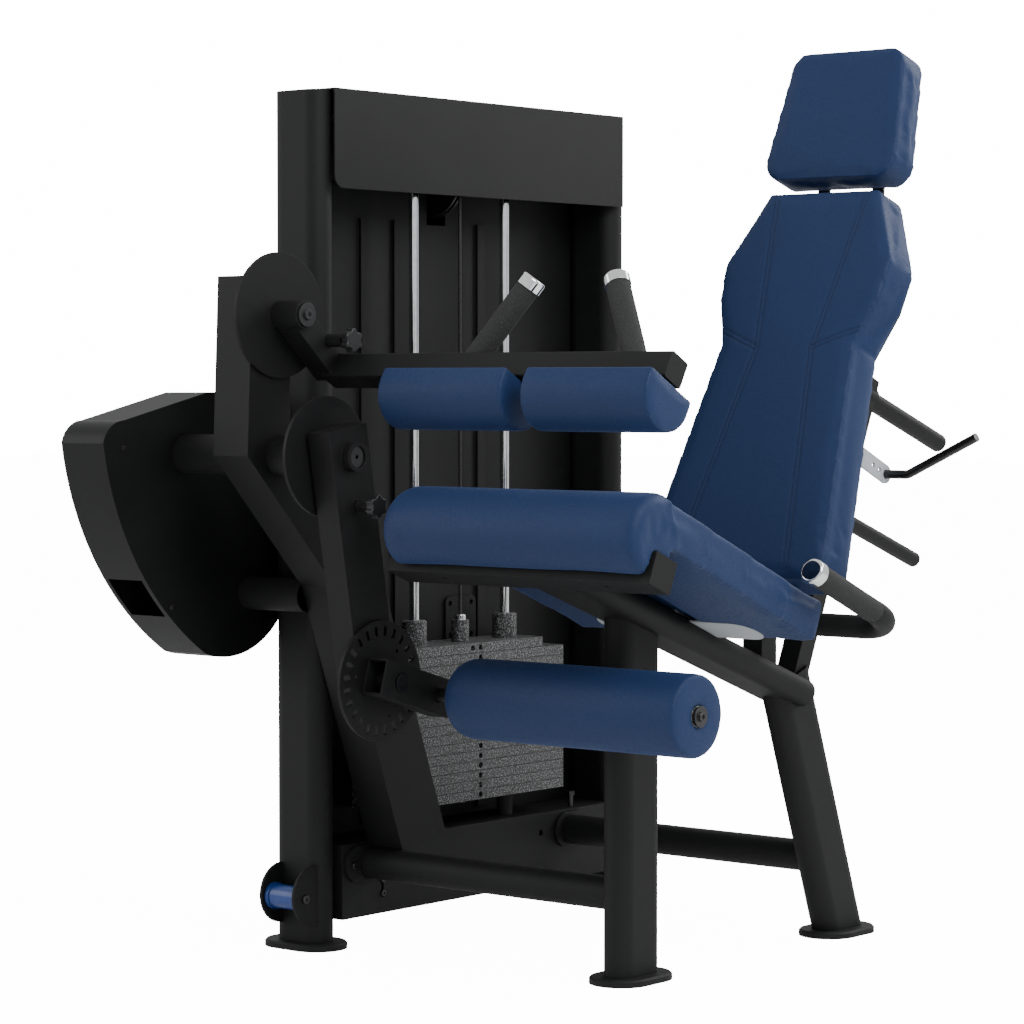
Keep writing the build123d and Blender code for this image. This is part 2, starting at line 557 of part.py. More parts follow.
casing_edges = [
    Line((-60, 973), (-262, 973)),
    Line((-262, 973), (-462, 926)),
    ThreePointArc((-462, 926), (-496, 910), (-507, 888)),
    ThreePointArc((-507, 888), (-428, 679), (-268, 521)),
    ThreePointArc((-268, 521), (-117, 544), (-47, 680)),
    Line((-47, 680), (-47, 960)),
    ThreePointArc((-47, 960), (-51, 969), (-60, 973)),
]
casing_face = make_face(casing_edges)
casing_inside = offset(casing_face, amount=-SHEET, kind=Kind.ARC)
keep("casing_sides", side_prism(casing_face, CASING_X1 - SHEET, CASING_X1)
     - x_rod(CASING_X1 - 5, CASING_X1 + 1, AXIS_Y, AXIS_Z, 26.0))
keep("casing_sides", side_prism(casing_face, CASING_X0, CASING_X0 + SHEET))
rim = side_prism(casing_face, CASING_X0 + SHEET, CASING_X1 - SHEET)
rim -= side_prism(casing_inside, CASING_X0 + SHEET, CASING_X1 - SHEET)
rim -= box(CASING_X0 + 10, CASING_X1 - 10, -430, -340, 590, 654)
rim -= y_rod(-110, -40, CABLE_X, IDLER_Z - PULLEY_RADIUS, 10.0)
upper = box(CASING_X0, CASING_X1, -410, 0, 880, 1000)
keep("casing_rim", rim - upper)
keep("casing_rim", rim & upper)
for y, z in ((-462, 880), (-352, 606), (-108, 590), (-110, 930)):
    keep("frame_bolts", bolt((CASING_X1, y, z), (1, 0, 0), 4.5, 2.5))
    keep("frame_bolts", bolt((CASING_X0, y, z), (-1, 0, 0), 4.5, 2.5))

# ---- Cable and its pulleys ------------------------------------------------------------------------

idler = Pos(CABLE_X, IDLER_Y, IDLER_Z) * Rot(0, 90, 0) * pulley(PULLEY_RADIUS, PULLEY_THICK, PULLEY_BORE + FIT)
keep("idler_pulley", idler)
turn = Pos(CABLE_X, TURN_Y, TURN_Z) * Rot(0, 90, 0) * pulley(PULLEY_RADIUS, PULLEY_THICK, PULLEY_BORE + FIT)
keep("turn_pulley", turn)
top = Pos(TOP_PULLEY_X, STACK_Y, TOP_PULLEY_Z) * Rot(90, 0, 0)
keep("top_pulley", top * pulley(TOP_PULLEY_RADIUS, PULLEY_THICK, PULLEY_BORE + FIT))

idler_axle = x_rod(CASING_X0 + SHEET, CASING_X1 - SHEET, IDLER_Y, IDLER_Z, PULLEY_BORE)
turn_plate = box(TOWER_IN - SHEET - 5, TOWER_IN - SHEET, TURN_Y - 45, TURN_Y + 45, TURN_Z - 45, TURN_Z + 45)
turn_plate += x_rod(CABLE_X - 20, TOWER_IN - SHEET - 5, TURN_Y, TURN_Z, PULLEY_BORE)
turn_plate += x_rod(CABLE_X - 16, CABLE_X - 12, TURN_Y, TURN_Z, 14.0)
hanger = box(TOP_PULLEY_X - 24, -610, STACK_Y - 19, STACK_Y + 19, 1449, 1455)
for side in (-1, 1):
    cheek_y = STACK_Y + side * 16.5
    hanger += box(TOP_PULLEY_X - 24, TOP_PULLEY_X + 24, cheek_y - 2.5, cheek_y + 2.5, 1345, 1449)
hanger += y_rod(STACK_Y - 22, STACK_Y + 22, TOP_PULLEY_X, TOP_PULLEY_Z, PULLEY_BORE)
keep("pulley_brackets", idler_axle, turn_plate, hanger)

# The cable leaves the top of the cam, goes down round the idler, back to the tower, up and over
SPAN_Y, SPAN_Z = IDLER_Y - AXIS_Y, IDLER_Z - AXIS_Z
SPAN = (SPAN_Y ** 2 + SPAN_Z ** 2) ** 0.5
TANGENT = atan2(SPAN_Z, SPAN_Y) - acos((CAM_RADIUS - PULLEY_RADIUS) / SPAN)


def in_cable_plane(y, z):
    return (CABLE_X, y, z)


def round_wheel(y, z, radius, angle):
    return in_cable_plane(y + radius * cos(angle), z + radius * sin(angle))


CABLE_START = radians(95)
wrap_end = TANGENT + 2 * 3.141592653589793 if TANGENT < 0 else TANGENT
cam_off = round_wheel(AXIS_Y, AXIS_Z, CAM_RADIUS, wrap_end)
idler_on = round_wheel(IDLER_Y, IDLER_Z, PULLEY_RADIUS, wrap_end)
idler_off = in_cable_plane(IDLER_Y, IDLER_Z - PULLEY_RADIUS)
turn_on = in_cable_plane(TURN_Y, TURN_Z - PULLEY_RADIUS)
turn_off = in_cable_plane(TURN_Y + PULLEY_RADIUS, TURN_Z)
cable_edges = [
    ThreePointArc(round_wheel(AXIS_Y, AXIS_Z, CAM_RADIUS, CABLE_START),
                  round_wheel(AXIS_Y, AXIS_Z, CAM_RADIUS, (CABLE_START + wrap_end) / 2), cam_off),
    Line(cam_off, idler_on),
    ThreePointArc(idler_on, round_wheel(IDLER_Y, IDLER_Z, PULLEY_RADIUS, (wrap_end + radians(270)) / 2),
                  idler_off),
    Line(idler_off, turn_on),
    ThreePointArc(turn_on, round_wheel(TURN_Y, TURN_Z, PULLEY_RADIUS, radians(-45)), turn_off),
    Line(turn_off, (CABLE_X, STACK_Y, TOP_PULLEY_Z)),
    ThreePointArc((CABLE_X, STACK_Y, TOP_PULLEY_Z),
                  (TOP_PULLEY_X, STACK_Y, TOP_PULLEY_Z + TOP_PULLEY_RADIUS), (ROD_X, STACK_Y, TOP_PULLEY_Z)),
    Line((ROD_X, STACK_Y, TOP_PULLEY_Z), (ROD_X, STACK_Y, STEM_TOP - 8)),
]
cable_path = Wire(cable_edges)
section = Plane(origin=cable_path @ 0, z_dir=cable_path % 0) * Circle(CABLE_RADIUS)
keep("drive_cable", sweep(section, path=cable_path))
CLAMP_ANGLE = CABLE_START - radians(8)
clamp_at = round_wheel(AXIS_Y, AXIS_Z, CAM_RADIUS + 1.5, CLAMP_ANGLE)
clamp = Pos(*clamp_at) * Rot(degrees(CLAMP_ANGLE) - 90, 0, 0) * Box(7.2, 9, 8)
keep("cam_wheel", clamp - cam)

# ---- Thigh pad arm --------------------------------------------------------------------------------

THIGH_DISC_X1 = NECK_X1 + 6
THIGH_PIN = (-246.0, 1060.0)
thigh_disc = x_rod(NECK_X1, THIGH_DISC_X1, THIGH_Y, THIGH_Z, DISC_RADIUS + 5)
pin_angle = degrees(atan2(THIGH_PIN[1] - THIGH_Z, THIGH_PIN[0] - THIGH_Y))
for hole in pin_ring(THIGH_Y, THIGH_Z, pin_angle - PIN_STEP, 4, NECK_X1 + 1.5, THIGH_DISC_X1):
    thigh_disc -= hole
thigh_disc -= x_rod(NECK_X1 - 1, THIGH_DISC_X1 + 1, THIGH_Y, THIGH_Z, 12.0)
keep("thigh_disc", thigh_disc)
HUB_X0, HUB_X1 = THIGH_DISC_X1 + 0.5, -436.0
pivot = x_rod(NECK_X1, HUB_X1 + 1, THIGH_Y, THIGH_Z, 12.0)
pivot += x_rod(HUB_X1 + 1, HUB_X1 + 4, THIGH_Y, THIGH_Z, 20.0)
keep("thigh_pivot", pivot, bolt((HUB_X1 + 4, THIGH_Y, THIGH_Z), (1, 0, 0), 9.0, 4.0))


def thigh_point(along, up):
    y, z = turned(BEAM_TILT, along, up)
    return BEAM_Y + y, BEAM_Z + z


half = BEAM_SIDE / 2
beam = tilted_box(thigh_point, BEAM_X0, BEAM_X1, -half, half, -half, half)
beam = fillet(beam.edges().filter_by(Axis.X), 4.0)
hub = x_rod(HUB_X0, HUB_X1, THIGH_Y, THIGH_Z, 24.0)
link_y, link_z = BEAM_Y - THIGH_Y, BEAM_Z - THIGH_Z
link_length = (link_y ** 2 + link_z ** 2) ** 0.5
across = (-link_z * 22 / link_length, link_y * 22 / link_length)
link_corners = [(THIGH_Y + across[0], THIGH_Z + across[1]), (BEAM_Y + across[0], BEAM_Z + across[1]),
                (BEAM_Y - across[0], BEAM_Z - across[1]), (THIGH_Y - across[0], THIGH_Z - across[1])]
link = side_prism(polygon(link_corners), HUB_X0, HUB_X0 + 44)
PIN_SLEEVE_END = -414.0
thigh_arm = beam + hub + link + x_rod(HUB_X0, PIN_SLEEVE_END, *THIGH_PIN, 11.0)
thigh_arm -= x_rod(HUB_X0 - 1, HUB_X1 + 1, THIGH_Y, THIGH_Z, 12.0 + FIT)
thigh_arm -= x_rod(HUB_X0 - 1, PIN_SLEEVE_END + 60, *THIGH_PIN, 7.0 + FIT)
GRIP_ROOTS = []
for side in (-1, 1):
    root = Vector(side * 165.0, *thigh_point(0, half - 3))
    tip = Vector(side * 83.0, -149.0, 1159.0)
    lean = (tip - root).normalized()
    GRIP_ROOTS.append((root, tip, lean))
    thigh_arm += rod(root, tip - lean * 20, GRIP_RADIUS - 4)
keep("thigh_arm", thigh_arm)
for root, tip, lean in GRIP_ROOTS:
    low, high = root - lean * 8, tip - lean * 20
    core = rod(low, high, GRIP_RADIUS - 4)
    keep("thigh_grips", rod(low, high, GRIP_RADIUS) - core - beam)
    cap = rod(high, tip, GRIP_RADIUS + 1.5)
    keep("thigh_grip_caps", fillet(cap.edges().sort_by(lambda e: -(e.center() - high).length)[0], 5.0))
keep("thigh_pull_pin", pull_pin(*THIGH_PIN, THIGH_DISC_X1 + 1, THIGH_DISC_X1 + 9, PIN_SLEEVE_END + 9))

PAD_TOP = -half - 0.5
PAD_SIDE = 19.0
for name, (x0, x1) in THIGH_PADS.items():
    corners = [(-THIGH_PAD_HALF, PAD_TOP), (THIGH_PAD_HALF, PAD_TOP)]
    low_left, low_right = (-THIGH_PAD_HALF, PAD_TOP - PAD_SIDE), (THIGH_PAD_HALF, PAD_TOP - PAD_SIDE)
    belly = (0, PAD_TOP - PAD_SIDE - THIGH_PAD_HALF)
    left_top, right_top = thigh_point(*corners[0]), thigh_point(*corners[1])
    outline = make_face([
        Line(left_top, right_top),
        Line(right_top, thigh_point(*low_right)),
        ThreePointArc(thigh_point(*low_right), thigh_point(*belly), thigh_point(*low_left)),
        Line(thigh_point(*low_left), left_top),
    ])
    pad = side_prism(outline, x0, x1)
    keep("thigh_pad_" + name, pad)

# ---- Seat -----------------------------------------------------------------------------------------

roll = x_rod(-SEAT_HALF, SEAT_HALF, SEAT_ROLL_Y, SEAT_ROLL_Z, SEAT_ROLL_RADIUS)
roll = fillet(roll.edges().group_by(Axis.X)[0], 40.0)
roll = fillet(roll.edges().group_by(Axis.X)[-1], 20.0)
slab_plane = Plane(origin=(0, *seat_point(0, SEAT_LOW)), x_dir=(1, 0, 0),
                   z_dir=(0, sin(radians(SEAT_TILT)), cos(radians(SEAT_TILT))))
slab_outline = polygon([(-SEAT_HALF, 0), (SEAT_HALF, 0), (SEAT_REAR_HALF, SEAT_LENGTH),
                        (-SEAT_REAR_HALF, SEAT_LENGTH)])
slab = extrude(slab_plane * slab_outline, amount=SEAT_HIGH - SEAT_LOW)
slab = fillet(slab.edges().group_by(Axis.Y)[-1].filter_by(Axis.X), 14.0)
cushion = slab + roll
cushion -= tilted_box(seat_point, -300, 300, -3.4, 600, -90, -22.6)
cushion -= tilted_box(seat_point, -300, 300, 40, 600, -90, SEAT_LOW)
cushion -= tilted_box(seat_point, -CHANNEL_HALF, CHANNEL_HALF, 40, 600, -90, CHANNEL_TOP)
keep("seat_cushion", cushion.solids().sort_by(SortBy.VOLUME)[-1])

SEAT_PLATE_LOW, SEAT_PLATE_THICK = SEAT_LOW - 0.3 - 3.0, 3.0
SEAT_PLATE_ALONG, SEAT_PLATE_HALF = 440.0, 165.0
seat_plate_face = fillet(Rectangle(2 * SEAT_PLATE_HALF, 80).vertices(), 38)
spot = Plane(origin=(0, *seat_point(SEAT_PLATE_ALONG, SEAT_PLATE_LOW)), x_dir=(1, 0, 0), z_dir=slab_plane.z_dir)
seat_plates = extrude(spot * seat_plate_face, amount=SEAT_PLATE_THICK) - beam_solid
keep("seat_brackets", *seat_plates.solids())
riser = tilted_box(seat_point, -30, 30, 380, 460, -40, CHANNEL_TOP - 0.4) - beam_solid
keep("seat_brackets", riser.solids().sort_by(lambda piece: piece.center().Z)[-1])

# ---- Upright with guide sleeves, bars and backrest ------------------------------------------------

SLEEVES = ((UPPER_BAR_UP, UPPER_BAR_RADIUS), (LOWER_BAR_UP, LOWER_BAR_RADIUS))


def bar_rod(x, up, a0, a1, radius):
    return rod((x, *bar_point(a0, up)), (x, *bar_point(a1, up)), radius)


UPRIGHT_TOP = back_height(UPRIGHT_ALONG, UPPER_BAR_UP) + 32
upright_solid = tilted_box(back_point, -20, 20, UPRIGHT_ALONG - 20, UPRIGHT_ALONG + 20, 560, UPRIGHT_TOP)
upright = upright_solid - tilted_box(back_point, -17, 17, UPRIGHT_ALONG - 17, UPRIGHT_ALONG + 17, 563,
                                     UPRIGHT_TOP - 3)
upright -= rear_leg_solid
upright = upright.solids().sort_by(SortBy.VOLUME)[-1]
for up, radius in SLEEVES:
    middle = bar_at(UPRIGHT_ALONG, up)
    upright += bar_rod(0, up, middle - SLEEVE_FRONT, middle + SLEEVE_REAR, radius + 5)
for up, radius in SLEEVES:
    middle = bar_at(UPRIGHT_ALONG, up)
    upright -= bar_rod(0, up, middle - SLEEVE_FRONT - 1, middle + SLEEVE_REAR + 1, radius + FIT)
upright -= beam_solid
keep("rear_upright", upright.solids().sort_by(SortBy.VOLUME)[-1])

BACK_REAR = BACK_FRONT + BACK_THICK
BOARD_THICK = 10.0
SPINE_A0 = BACK_REAR + BOARD_THICK
back_plane = Plane(origin=(0, *back_point(BACK_FRONT, 0)), x_dir=(1, 0, 0),
                   z_dir=(0, cos(radians(BACK_TILT)), -sin(radians(BACK_TILT))))


def back_outline(inset, corner_radius):
    """The backrest's outline, narrow at the waist; the plane's y runs down the back."""
    right = [(w - inset, -u) for w, u in BACK_OUTLINE]
    left = [(-w, u) for w, u in reversed(right)]
    face = polygon(right + left)
    by_height = face.vertices().sort_by(Axis.Y)
    face = fillet(by_height[-2:], 2.2 * corner_radius)
    face = fillet(face.vertices().sort_by(Axis.Y)[:2], 0.5 * corner_radius)
    return face


pad_face = back_outline(0, 20.0)
pad = extrude(back_plane * pad_face, amount=BACK_THICK)
keep("backrest_pad", pad)
board_plane = back_plane.offset(BACK_THICK + 0.2)
board = extrude(board_plane * back_outline(12, 14.0), amount=BOARD_THICK - 0.2)
board &= tilted_box(back_point, -250, 250, 0, 100, BACK_LOW + 12, BACK_HIGH - 14)
keep("backrest_board", board)

SPINE_LOW = back_height(SPINE_A0, LOWER_BAR_UP) - 36
SPINE_HIGH = back_height(SPINE_A0, UPPER_BAR_UP) + 36
spine = tilted_box(back_point, -32, 32, SPINE_A0, SPINE_A0 + 12, SPINE_LOW, SPINE_HIGH)
before_spine = tilted_box(back_point, -50, 50, SPINE_A0 - 60, SPINE_A0, SPINE_LOW - 60, SPINE_HIGH + 60)
for up, radius, end in ((UPPER_BAR_UP, UPPER_BAR_RADIUS, UPPER_BAR_END),
                        (LOWER_BAR_UP, LOWER_BAR_RADIUS, LOWER_BAR_END)):
    bar = bar_rod(0, up, bar_at(SPINE_A0, up), end, radius)
    far = (0, *bar_point(end, up))
    bar = fillet(bar.edges().sort_by(lambda e: (e.center() - Vector(*far)).length)[0], 5.0)
    spine += bar - before_spine
keep("backrest_bars", spine)


def head_point(out, up):
    """A point of the headrest in (y, z): out towards the rear, up along the headrest."""
    angle = radians(HEAD_TILT)
    along = -25.6 + out * cos(angle) - up * sin(angle)
    rise = 1461 + out * sin(angle) + up * cos(angle)
    return back_point(along, rise)


head_low, head_side = head_point(0, 0), head_point(1, 0)
head_normal = (0, head_side[0] - head_low[0], head_side[1] - head_low[1])
head_plane = Plane(origin=(0, *head_low), x_dir=(1, 0, 0), z_dir=head_normal)
head_face = polygon([(147, 0), (121, -252), (-121, -252), (-147, 0)])
head_face = fillet(head_face.vertices(), 40.0)
keep("headrest_pad", extrude(head_plane * head_face, amount=HEAD_THICK))
head_board = polygon([(120, -22), (100, -226), (-100, -226), (-120, -22)])
head_board = fillet(head_board.vertices(), 18.0)
keep("backrest_board", extrude(head_plane.offset(HEAD_THICK + 0.2) * head_board, amount=8.0))
HEAD_BACK = HEAD_THICK + 8.2
inner_line = [back_point(SPINE_A0, 1330), back_point(SPINE_A0, 1432), head_point(HEAD_BACK, 26),
              head_point(HEAD_BACK, 190)]
outer_line = [head_point(HEAD_BACK + 6, 190), head_point(HEAD_BACK + 6, 20), back_point(SPINE_A0 + 6, 1430),
              back_point(SPINE_A0 + 6, 1330)]
for x in (-70, 46):
    keep("backrest_board", side_prism(polygon(inner_line + outer_line), x, x + 24))

# Release lever on its quadrant plate, beside the upright
LEVER_ALONG, LEVER_UP = 335.0, 1044.0
QUADRANT_HALF = 17.0
lever_y, lever_z = back_point(LEVER_ALONG, LEVER_UP)
quadrant = tilted_box(back_point, 20, 25, UPRIGHT_ALONG - 20, LEVER_ALONG, LEVER_UP - QUADRANT_HALF,
                      LEVER_UP + QUADRANT_HALF)
quadrant += x_rod(20, 25, lever_y, lever_z, QUADRANT_HALF)
quadrant -= x_rod(19, 26, lever_y, lever_z, 8.0 + FIT)
for back in (22, 44):
    quadrant -= x_rod(19, 26, *back_point(LEVER_ALONG - back, LEVER_UP), 4.5)
keep("seat_brackets", quadrant)
LEVER_BEND_X, LEVER_TIP = 72.0, (216.0, lever_y, 893.0)
lever_path = FilletPolyline((12, lever_y, lever_z), (LEVER_BEND_X, lever_y, lever_z), LEVER_TIP, radius=22)
lever = sweep(Plane(origin=(12, lever_y, lever_z), z_dir=(1, 0, 0)) * Circle(8.0), path=lever_path)
keep("release_lever", lever)

# ---- Side handle ----------------------------------------------------------------------------------

GRIP_LENGTH = 200.0
grip_drop = Vector(0, HANDLE_Y - HANDLE_TOP_Y, HANDLE_Z - HANDLE_TOP_Z)
grip_dir = grip_drop.normalized()
grip_end = Vector(HANDLE_X, HANDLE_TOP_Y, HANDLE_TOP_Z) + grip_dir * GRIP_LENGTH
corner_right = (HANDLE_X, HANDLE_Y, HANDLE_Z)
corner_left = (-HANDLE_X, HANDLE_Y, HANDLE_Z)
handle_path = FilletPolyline((grip_end.X, grip_end.Y, grip_end.Z), corner_right, corner_left,
                             (-grip_end.X, grip_end.Y, grip_end.Z), radius=78)
handle_start = Plane(origin=(grip_end.X, grip_end.Y, grip_end.Z), z_dir=grip_dir)
handle = sweep(handle_start * Circle(HANDLE_RADIUS), path=handle_path)
for side in (-1, 1):
    top_end = Vector(side * HANDLE_X, HANDLE_TOP_Y, HANDLE_TOP_Z)
    low_end = Vector(side * HANDLE_X, grip_end.Y, grip_end.Z)
    core = rod(top_end + grip_dir * 20, low_end, HANDLE_RADIUS - 5)
    handle += core
    keep("side_grips", rod(top_end + grip_dir * 20, low_end, HANDLE_RADIUS - 0.5) - core)
    cap = rod(top_end, top_end + grip_dir * 20, HANDLE_RADIUS + 1.5)
    cap = fillet(cap.edges().sort_by(lambda e: (e.center() - top_end).length)[0], 5.0)
    keep("side_grip_caps", cap)
keep("side_handle", handle)
post = box(-20, 20, HANDLE_Y - 22, HANDLE_Y + 22, 400, HANDLE_Z)
post = post - beam_solid - handle - upright_solid - rear_leg_solid
keep("side_handle", post.solids().sort_by(Axis.Z)[-1])

# ---- Small plates, transport roller and remaining fasteners ---------------------------------------

panel_plate = fillet(Rectangle(86, 86).vertices(), 12)
for y in (-30, 30):
    for z in (-30, 30):
        panel_plate -= Pos(y, z) * Circle(5)
keep("mounting_plates", extrude(Plane.YZ.offset(TOWER_IN) * Pos(368, 548) * panel_plate, amount=5.0))
keep("mounting_plates", *flange_solids)

WHEEL_Y, WHEEL_Z = -153.0, 93.0
for x in (-677.0, -600.0):
    ear = x_rod(x, x + 5, FRONT_COLUMN_Y - OVAL_SHORT / 2, 96, 53.0)
    ear &= box(-800, -500, -300, -105, 0, 300)
    ear = ear - column_solid["front"] - x_rod(x - 1, x + 6, WHEEL_Y, WHEEL_Z, 5.0)
    keep("mounting_plates", ear.solids().sort_by(Axis.Y)[0])
spool = x_rod(-670, -602, WHEEL_Y, WHEEL_Z, 21.0)
for x in (-670, -609):
    spool += x_rod(x, x + 7, WHEEL_Y, WHEEL_Z, 23.5)
keep("transport_roller", spool - x_rod(-671, -601, WHEEL_Y, WHEEL_Z, 5.0 + FIT))
keep("frame_bolts", x_rod(-677, -595, WHEEL_Y, WHEEL_Z, 5.0),
     bolt((-595, WHEEL_Y, WHEEL_Z), (1, 0, 0), 8.0, 4.0), bolt((-677, WHEEL_Y, WHEEL_Z), (-1, 0, 0), 8.0, 4.0))
for z in (84, 108):
    keep("frame_bolts", bolt((TOWER_OUT, 31, z), (1, 0, 0), 5.5, 4.0))
keep("frame_bolts", z_rod(BASE_TOP, BASE_TOP + 22, -600, 590, 5.0))
nut = extrude(Plane.XY.offset(BASE_TOP + 22) * Pos(-600, 590) * RegularPolygon(9, 6), amount=8)
keep("frame_bolts", nut)


# ---- Placing and writing --------------------------------------------------------------------------

everything = Compound(children=[solid for solids in PARTS.values() for solid in solids])
bounds = everything.bounding_box()
ORIGIN = Vector((bounds.min.X + bounds.max.X) / 2, (bounds.min.Y + bounds.max.Y) / 2, bounds.min.Z)


def main():
    os.makedirs("parts", exist_ok=True)
    for node, solids in PARTS.items():
        pieces = [piece for solid in solids for piece in solid.solids()]
        moved = [Pos(-ORIGIN.X, -ORIGIN.Y, -ORIGIN.Z) * piece for piece in pieces]
        shape = moved[0] if len(moved) == 1 else Compound(children=moved)
        export_step(shape, f"parts/{node}.step")


if __name__ == "__main__":
    main()
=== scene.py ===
import math

import bmesh
import bpy
import numpy as np
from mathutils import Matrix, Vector
from mathutils.bvhtree import BVHTree
from mathutils.kdtree import KDTree


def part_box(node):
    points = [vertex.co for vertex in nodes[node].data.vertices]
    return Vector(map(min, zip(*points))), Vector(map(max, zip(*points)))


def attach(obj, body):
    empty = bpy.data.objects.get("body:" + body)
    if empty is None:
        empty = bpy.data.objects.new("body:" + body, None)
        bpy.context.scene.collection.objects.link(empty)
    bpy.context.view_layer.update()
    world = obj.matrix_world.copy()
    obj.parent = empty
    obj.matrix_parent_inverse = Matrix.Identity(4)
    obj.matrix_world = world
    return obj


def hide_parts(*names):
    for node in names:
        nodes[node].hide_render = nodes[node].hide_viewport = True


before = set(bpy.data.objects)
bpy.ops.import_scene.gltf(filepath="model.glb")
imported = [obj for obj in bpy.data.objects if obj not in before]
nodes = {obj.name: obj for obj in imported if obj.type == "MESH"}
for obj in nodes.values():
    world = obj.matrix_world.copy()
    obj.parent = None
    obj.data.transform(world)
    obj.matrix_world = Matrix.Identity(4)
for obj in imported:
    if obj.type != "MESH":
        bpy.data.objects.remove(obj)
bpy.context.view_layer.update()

MM = 0.001


def node_centre(name):
    low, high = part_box(name)
    return (low + high) / 2


# ---- Materials -------------------------------------------------------------------------------------


def new_material(name):
    material = bpy.data.materials.new(name)
    material.use_nodes = True
    tree = material.node_tree
    return material, tree, tree.nodes["Principled BSDF"]


def link(tree, source, target):
    tree.links.new(source, target)


def noise(tree, scale, detail=2.0, roughness=0.5):
    coords = tree.nodes.new("ShaderNodeTexCoord")
    texture = tree.nodes.new("ShaderNodeTexNoise")
    texture.inputs["Scale"].default_value = scale
    texture.inputs["Detail"].default_value = detail
    texture.inputs["Roughness"].default_value = roughness
    link(tree, coords.outputs["Object"], texture.inputs["Vector"])
    return texture.outputs["Fac"]


def cells(tree, scale):
    coords = tree.nodes.new("ShaderNodeTexCoord")
    texture = tree.nodes.new("ShaderNodeTexVoronoi")
    texture.inputs["Scale"].default_value = scale
    link(tree, coords.outputs["Object"], texture.inputs["Vector"])
    return texture.outputs["Distance"]


def remap(tree, value, low, high, to_low, to_high):
    node = tree.nodes.new("ShaderNodeMapRange")
    node.inputs["From Min"].default_value = low
    node.inputs["From Max"].default_value = high
    node.inputs["To Min"].default_value = to_low
    node.inputs["To Max"].default_value = to_high
    link(tree, value, node.inputs["Value"])
    return node.outputs["Result"]


def mix(tree, factor, first, second):
    """Blend two colours; each is a tuple or another node's output."""
    node = tree.nodes.new("ShaderNodeMix")
    node.data_type = "RGBA"
    link(tree, factor, node.inputs["Factor"])
    colour_sockets = [s for s in node.inputs if s.type == "RGBA"]
    for socket, value in zip(colour_sockets, (first, second)):
        if isinstance(value, tuple):
            socket.default_value = (*value, 1.0)
        else:
            link(tree, value, socket)
    return [s for s in node.outputs if s.type == "RGBA"][0]


def bump(tree, height, strength, distance, normal=None):
    node = tree.nodes.new("ShaderNodeBump")
    node.inputs["Strength"].default_value = strength
    node.inputs["Distance"].default_value = distance
    link(tree, height, node.inputs["Height"])
    if normal is not None:
        link(tree, normal, node.inputs["Normal"])
    return node.outputs["Normal"]


def rounded(tree, radius):
    node = tree.nodes.new("ShaderNodeBevel")
    node.samples = 4
    node.inputs["Radius"].default_value = radius
    return node.outputs["Normal"]


def edge_mask(tree, bevel_normal):
    """Half on sharp edges, nothing on flats."""
    geometry = tree.nodes.new("ShaderNodeNewGeometry")
    dot = tree.nodes.new("ShaderNodeVectorMath")
    dot.operation = "DOT_PRODUCT"
    link(tree, geometry.outputs["Normal"], dot.inputs[0])
    link(tree, bevel_normal, dot.inputs[1])
    return remap(tree, dot.outputs["Value"], 0.98, 0.80, 0.0, 0.5)


def powder_coat(name, colour, worn, roughness, specular, grain=750.0, depth=0.12):
    """Fine orange-peel paint with mottled tone and paler, polished edges."""
    material, tree, shader = new_material(name)
    shader.inputs["Specular IOR Level"].default_value = specular
    normal = rounded(tree, 1.2 * MM)
    broad = remap(tree, noise(tree, 9.0, 4.0), 0.3, 0.7, 0.0, 1.0)
    darker = tuple(c * 0.82 for c in colour)
    tone = mix(tree, broad, darker, colour)
    tone = mix(tree, edge_mask(tree, normal), tone, worn)
    link(tree, tone, shader.inputs["Base Color"])
    fine = noise(tree, grain, 3.0, 0.6)
    shine = remap(tree, fine, 0.3, 0.7, roughness - 0.05, roughness + 0.08)
    link(tree, shine, shader.inputs["Roughness"])
    link(tree, bump(tree, fine, depth, 0.6 * MM, normal), shader.inputs["Normal"])
    return material


def metal(name, colour, roughness):
    material, tree, shader = new_material(name)
    shader.inputs["Metallic"].default_value = 1.0
    tint = remap(tree, noise(tree, 60.0, 3.0), 0.35, 0.65, 0.0, 1.0)
    link(tree, mix(tree, tint, tuple(c * 0.9 for c in colour), colour), shader.inputs["Base Color"])
    fine = noise(tree, 420.0, 2.0)
    shine = remap(tree, fine, 0.3, 0.7, roughness * 0.8, roughness * 1.25)
    link(tree, shine, shader.inputs["Roughness"])
    link(tree, rounded(tree, 0.8 * MM), shader.inputs["Normal"])
    return material


def speckled(name, colour, fleck, roughness, scale, amount, depth=0.25):
    """A dark coating scattered with paler flecks."""
    material, tree, shader = new_material(name)
    fine = noise(tree, scale, 4.0, 0.75)
    flecks = remap(tree, fine, amount, amount + 0.06, 0.0, 1.0)
    broad = remap(tree, noise(tree, 12.0), 0.3, 0.7, 0.0, 1.0)
    base = mix(tree, broad, tuple(c * 0.8 for c in colour), colour)
    link(tree, mix(tree, flecks, base, fleck), shader.inputs["Base Color"])
    shader.inputs["Roughness"].default_value = roughness
    link(tree, bump(tree, fine, depth, 0.5 * MM, rounded(tree, 0.8 * MM)), shader.inputs["Normal"])
    return material


